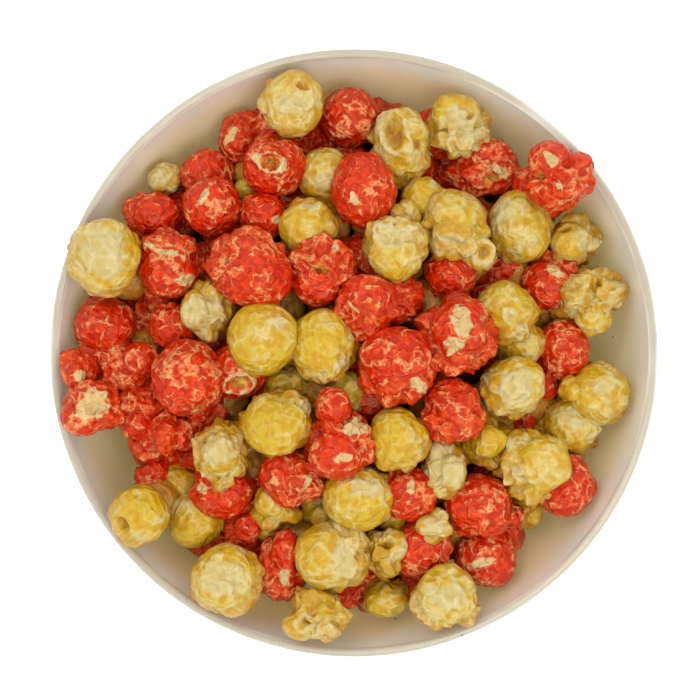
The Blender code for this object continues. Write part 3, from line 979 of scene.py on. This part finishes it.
def wrinkleGroup():  # the coating's wrinkled sugar, shared by both colours of candy
    group = bpy.data.node_groups.new("sugar wrinkles", "ShaderNodeTree")
    addSockets(group, "INPUT", {"Vector": "Vector", "Scale": "Float", "Width": "Float"})
    addSockets(group, "OUTPUT", dict.fromkeys(sugarMasks, "Float"))
    where, scale, width = (Out(group, out) for out in group.nodes.new("NodeGroupInput").outputs[:3])

    def pattern(vector, key):
        share, detail = sugar[key]
        return cloud(vector, scale * share, detail)

    moved = where + drift(where, scale * sugar["strayScale"]) * sugar["strayReach"]
    line = calc("ABSOLUTE", pattern(moved, "fold") - 0.5)
    fold = 1.0 - ramp(line, 0.0, width)
    broken = ramp(pattern(where, "break"), *sugar["breakRange"])
    feed(group.nodes.new("NodeGroupOutput"), {
        "Fold": fold * broken,
        "Lump": ramp(pattern(moved, "lump"), *sugar["lumpRange"]),
        "Mottle": pattern(moved, "mottle"),
        "Grain": pattern(where, "grain"),
    })
    return group


def meshValue(tree, name):
    return put(tree, "ShaderNodeAttribute", {}, "Fac", attribute_name=name, attribute_type="GEOMETRY")


def candy(name, wrinkles, look):
    made, shader, where = newMaterial(name)
    tree = made.node_tree
    fine = tree.nodes.new("ShaderNodeGroup")
    fine.node_tree = wrinkles
    feed(fine, {"Vector": where, "Scale": look["scale"], "Width": look["width"]})
    fold, lump, mottle, grain = (Out(tree, fine.outputs[key]) for key in sugarMasks)
    share = sugar["foldShare"]
    height = fold * share + lump * (1 - share)
    upward = meshValue(tree, "upward")

    colour = mixColour(meshValue(tree, "onCap"), look["skirt"], look["body"])
    # Painted shade, partly thicker sugar: the crease colour where the sugar relief is low and in the
    # creases between lobes.
    colour = mixColour(ramp(height, *look["creaseRange"]), look["creaseSugarAndShade"], colour)
    colour = mixColour(ramp(meshValue(tree, "ridge"), *look["ridgeRange"]), look["creaseSugarAndShade"], colour)
    # Painted shade: the below colour, darker on the underside and the sides.
    colour = mixColour(ramp(upward, *look["shadeBelowRange"]), look["below"], colour)
    # Pale patches, partly thin sugar and partly painted sheen, most on the upper parts.
    frostAndSheen = (mottle - 0.5) * look["frostAndSheenMottle"] + meshValue(tree, "pale") * look["frostAndSheenPale"]
    frostAndSheen = frostAndSheen + height * look["frostAndSheenFold"]
    patch = ramp(frostAndSheen, *look["patchRange"]) * look["patchShare"] * ramp(upward, *sugar["frostAndSheenUpRange"])
    patch = patch * ramp(grain, *look["fleckRange"])  # breaks the pale strokes up
    colour = mixColour(patch, colour, look["patch"])

    rag = (lump + mottle - 1.0) * sugar["bareRag"]
    bare = ramp(meshValue(tree, "bare") + rag, *look["bareRange"])
    cream = mixColour(height * sugar["creamMore"] + sugar["creamLow"], look["bareDark"], look["bare"])
    colour = mixColour(bare * look["bareShare"], colour, cream)
    inside = mixColour(height, look["hollowDark"], look["hollow"])
    colour = mixColour(meshValue(tree, "hollow"), colour, inside)

    relief = height + grain * look["grain"] + mottle
    feed(shader, {
        "Base Color": colour,
        "Roughness": mottle * look["roughMore"] + look["roughLow"] + bare * sugar["bareRough"],
        "Specular Tint": look["gleam"],
        "Coat Weight": (1.0 - bare) * look["coat"],
        "Coat Roughness": sugar["coatRough"],
        "Subsurface Weight": look["seeIn"],
        "Subsurface Radius": sugar["seeInColour"],
        "Subsurface Scale": look["seeInDepth"],
        "Normal": bump(relief, 1.0, look["bumpHeight"]),
    })
    return made


# A look's crease and below colours are painted shade, the crease partly thicker sugar, and its patch
# colour is partly painted sheen.
redLook = {
    "scale": 360.0, "width": 0.13,
    "body": linear(215, 45, 2), "skirt": linear(216, 60, 9),
    "creaseSugarAndShade": linear(176, 18, 1), "creaseRange": (-0.15, 0.35), "ridgeRange": (0.1, 0.45),
    "below": linear(168, 16, 1), "shadeBelowRange": (-0.5, 0.2),
    "patch": linear(232, 162, 106), "patchRange": (0.5, 1.2), "patchShare": 0.95,
    "frostAndSheenMottle": 2.2, "frostAndSheenPale": 0.4, "frostAndSheenFold": 1.05, "fleckRange": (0.3, 0.58),
    "bare": linear(218, 205, 156), "bareDark": linear(206, 164, 98),
    "bareRange": (0.3, 0.74), "bareShare": 0.95,
    "hollow": linear(218, 182, 84), "hollowDark": linear(176, 104, 30),
    "roughLow": 0.24, "roughMore": 0.2, "coat": 0.15, "gleam": (1, 0.75, 0.4, 1),
    "seeIn": 0.1, "seeInDepth": 1.2 * mm,
    "bumpHeight": 0.9 * mm, "grain": 0.34,
}
goldLook = {
    "scale": 300.0, "width": 0.16,
    "body": linear(202, 169, 29), "skirt": linear(194, 157, 36),
    "creaseSugarAndShade": linear(190, 128, 18), "creaseRange": (-0.3, 0.28), "ridgeRange": (0.1, 0.45),
    "below": linear(182, 128, 18), "shadeBelowRange": (-0.3, 0.75),
    "patch": linear(213, 201, 146), "patchRange": (0.2, 1.2), "patchShare": 0.85,
    "frostAndSheenMottle": 2.4, "frostAndSheenPale": 0.55, "frostAndSheenFold": 0.7, "fleckRange": (0.15, 0.62),
    "bare": linear(209, 199, 154), "bareDark": linear(192, 173, 104),
    "bareRange": (0.28, 0.76), "bareShare": 0.85,
    "hollow": linear(200, 149, 16), "hollowDark": linear(158, 100, 6),
    "roughLow": 0.25, "roughMore": 0.2, "coat": 0.25, "gleam": (1, 0.9, 0.65, 1),
    "seeIn": 0.45, "seeInDepth": 2.5 * mm,
    "bumpHeight": 0.5 * mm, "grain": 0.5,
}
goldShadedLook = {  # a darker, browner copy of the gold: painted shade for the kernels down in the gaps
    **goldLook,
    "body": linear(188, 130, 36), "skirt": linear(194, 144, 60), "creaseSugarAndShade": linear(150, 82, 14),
    "patch": linear(200, 156, 76), "below": linear(144, 70, 12),
}
glazeLook = {
    "colour": linear(239, 241, 236),
    "thin": linear(233, 235, 229),
    "thinScale": 22.0,
    "thinRange": (0.35, 0.65),
    # The inside's warmer colour lower down is painted reflection: warm light thrown back from the popcorn.
    "deep": linear(240, 229, 205),
    "deepFrom": 70 * mm,
    "deepTo": 54 * mm,
    "lip": linear(180, 176, 164),  # painted shade: the fully lit lip darker, to match the wall below it
    "lipFrom": 70.6 * mm,
    "lipTo": 71.7 * mm,
    "waver": 3 * mm,  # how far those heights come and go
    "fineScale": 160.0,
    "rough": 0.16,
    "roughMore": 0.08,
    "coat": 0.5,
    "coatRough": 0.06,
    "seeIn": 0.75,
    "seeInColour": (1.0, 0.85, 0.65),
    "seeInDepth": 9 * mm,
    "bump": 0.12,
    "bumpHeight": 0.4 * mm,
}


def glaze():
    made, shader, where = newMaterial("glazedCeramic")
    look = glazeLook
    broad = cloud(where, look["thinScale"], 3.0)
    fine = cloud(where, look["fineScale"], 2.0)
    colour = mixColour(ramp(broad, *look["thinRange"]), look["thin"], look["colour"])
    height = upPart(where) + (broad - 0.5) * look["waver"]
    # Painted reflection: the inside warmer lower down, as if lit by light thrown back from the popcorn.
    deep = (1.0 - ramp(height, look["deepTo"], look["deepFrom"])) * meshValue(made.node_tree, "inside")
    colour = mixColour(deep, colour, look["deep"])
    # Painted shade: the lip darker.
    colour = mixColour(ramp(height, look["lipFrom"], look["lipTo"]), colour, look["lip"])
    feed(shader, {
        "Base Color": colour,
        "Roughness": fine * look["roughMore"] + look["rough"],
        "Coat Weight": look["coat"],
        "Coat Roughness": look["coatRough"],
        "Subsurface Weight": look["seeIn"],
        "Subsurface Radius": look["seeInColour"],
        "Subsurface Scale": look["seeInDepth"],
        "Normal": bump(fine, look["bump"], look["bumpHeight"]),
    })
    return made


def blotched(name, look, detail):  # the dark finish of the specks, and the core's dark colour, which is painted shade
    made, shader, where = newMaterial(name)
    blotch = cloud(where, look["blotchScale"], detail)
    colour = mixColour(ramp(blotch, *look["blotchRange"]), look["dark"], look["light"])
    feed(shader, {"Base Color": colour, "Roughness": look["rough"]})
    return made, shader, blotch


def speckShade():
    return blotched("darkSpeck", specks, 1.0)[0]


# Painted shade: the heap's depths coloured dark.
def paintedHeapShade():
    made, shader, blotch = blotched("deepHeap", core, 3.0)
    relief = bump(blotch, core["bump"], core["bumpHeight"])
    feed(shader, {"Specular IOR Level": core["shine"], "Normal": relief})
    return made


# Making the pieces

ceramic = glaze()
wrinkles = wrinkleGroup()
redCandy = candy("redCandy", wrinkles, redLook)
goldCandy = candy("goldCandy", wrinkles, goldLook)
goldShaded = candy("goldShaded", wrinkles, goldShadedLook)

bowlPiece, ringSizes = turned("glazedBowl", bowlProfile(), bowl["around"])
insideRings = bowl["wallSteps"] + bowl["lipSteps"] // 2
insideCount = sum(ringSizes[:insideRings])
layer = bowlPiece.data.attributes.new("inside", "FLOAT", "POINT")
layer.data.foreach_set("value", [float(i < insideCount) for i in range(sum(ringSizes))])
bowlPiece.data.materials.append(ceramic)
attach(bowlPiece, "root")
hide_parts("bowl")
print("bowl turned")

speckPiece = makeSpecks()
speckPiece.data.materials.append(speckShade())
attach(speckPiece, "root")
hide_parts("bowl")
print("specks laid")

shapes = {  # lobe size, then the depths of lobes, bumps, wrinkles and bumps on the cap, then fold
    "redRound": (8 * mm, 0.26, 0.10, 0.03, 0.05, 0.25),
    "redRagged": (8.5 * mm, 0.28, 0.12, 0.03, 0.06, 0.4),
    "goldRound": (8 * mm, 0.21, 0.09, 0.02, 0.06, 0.3),
    "goldRagged": (8 * mm, 0.30, 0.13, 0.02, 0.08, 0.6),
    "redBits": (6 * mm, 0.26, 0.10, 0.02, 0.05, 0.3),
    "goldBits": (6 * mm, 0.25, 0.10, 0.02, 0.06, 0.3),
    "redUnder": (8 * mm, 0.28, 0.10, 0, 0, 0.3),
    "goldUnder": (8 * mm, 0.25, 0.10, 0, 0, 0.3),
}
kinds = {  # how fine the mesh is, and the cap's size and how far it may lean
    "Round": {"detail": 5, "size": (0.82, 0.92), "lean": 0.8},
    "Ragged": {"detail": 5, "size": (0.50, 0.66), "lean": 1.0},
    "Bits": {"detail": 4, "size": (0.60, 0.75), "lean": 1.0},
    "Under": {"detail": 4, "size": (0.70, 0.85), "lean": 1.0},
}

placed, every = placeKernels()
placed.update(placeUnder(every))
placeProps(placed)
tree = kernelTree()
for name, kernels in placed.items():
    kind = next(kind for ending, kind in kinds.items() if name.endswith(ending))
    # The gold kernels down in the gaps get the darker copy of the gold, as painted shade.
    coating = {"goldUnder": goldShaded}.get(name, redCandy if name.startswith("red") else goldCandy)
    settings = dict(zip(shapeNames, map(float, shapes[name])), Detail=kind["detail"], Coating=coating)
    piece = growKernels(name, kernels, kind, tree, settings)
    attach(piece, "root")
    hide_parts("popcorn")
    print(name, len(kernels), "kernels,", len(piece.data.polygons), "faces")

corePiece = makeCore()
corePiece.data.materials.append(paintedHeapShade())
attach(corePiece, "root")
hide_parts("popcorn")
print("core made")

# Stage, light and camera

studio = {
    "floorSize": 3.0,
    "floorColour": (0.92, 0.92, 0.92, 1),
    "floorRough": 0.9,
    "floorGlow": 0.55,  # the photo's backdrop is pure white
    "keyPlace": (0.3, -0.35, 1.1), "keySize": 0.6, "keyPower": 5.0,
    "fillPlace": (-0.35, 0.35, 1.1), "fillSize": 0.6, "fillPower": 3.2,
    "skyLow": 0.6, "skySide": 1.2, "skyHigh": 0.45,  # a light tent, brightest part way up
    "sideRange": (0.05, 0.25), "highRange": (0.45, 0.95),
    "backdrop": 1.2,
    "warmth": (1, 0.965, 0.9),
}


def makeFloor():
    bm = bmesh.new()
    bmesh.ops.create_grid(bm, x_segments=1, y_segments=1, size=studio["floorSize"] / 2)
    floor = meshObject("floor", bm)
    made, shader, _ = newMaterial("paleFloor")
    seen = put(made.node_tree, "ShaderNodeLightPath", out="Is Camera Ray")
    feed(shader, {
        "Base Color": studio["floorColour"],
        "Roughness": studio["floorRough"],
        "Emission Color": (1, 1, 1, 1),
        "Emission Strength": seen * studio["floorGlow"],
    })
    floor.data.materials.append(made)


def makeLight(name):
    lamp = bpy.data.lights.new(name, "AREA")
    lamp.size = studio[name + "Size"]
    lamp.energy = studio[name + "Power"]
    lamp.color = studio["warmth"]
    made = addObject(name, lamp)
    made.location = studio[name + "Place"]
    towards = Vector((0, 0, bowl["height"])) - made.location
    made.rotation_euler = towards.to_track_quat("-Z", "Y").to_euler()


def makeCamera():
    lens = bpy.data.cameras.new("camera")
    seenWidth = photo["pixels"] / photo["perMillimetre"] * mm
    lens.lens = lens.sensor_width * photo["eyeHeight"] / seenWidth
    half = photo["pixels"] / 2
    made = addObject("camera", lens)
    made.location = (*fromRim(half, half), bowl["height"] + photo["eyeHeight"])
    bpy.context.scene.camera = made


def makeSky():
    sky = bpy.data.worlds.new("sky")
    sky.use_nodes = True
    tree = sky.node_tree
    upwards = upPart(put(tree, "ShaderNodeTexCoord", out="Generated"))
    side = ramp(upwards, *studio["sideRange"]) * (studio["skySide"] - studio["skyLow"])
    above = ramp(upwards, *studio["highRange"]) * (studio["skySide"] - studio["skyHigh"])
    seen = put(tree, "ShaderNodeLightPath", out="Is Camera Ray")
    brightness = largest(side + studio["skyLow"] - above, seen * studio["backdrop"])
    feed(tree.nodes["Background"], {"Color": (*studio["warmth"], 1), "Strength": brightness})
    bpy.context.scene.world = sky


makeFloor()
makeLight("key")
makeLight("fill")
makeSky()
bpy.context.scene.view_settings.view_transform = "Standard"
makeCamera()
print("stage set")
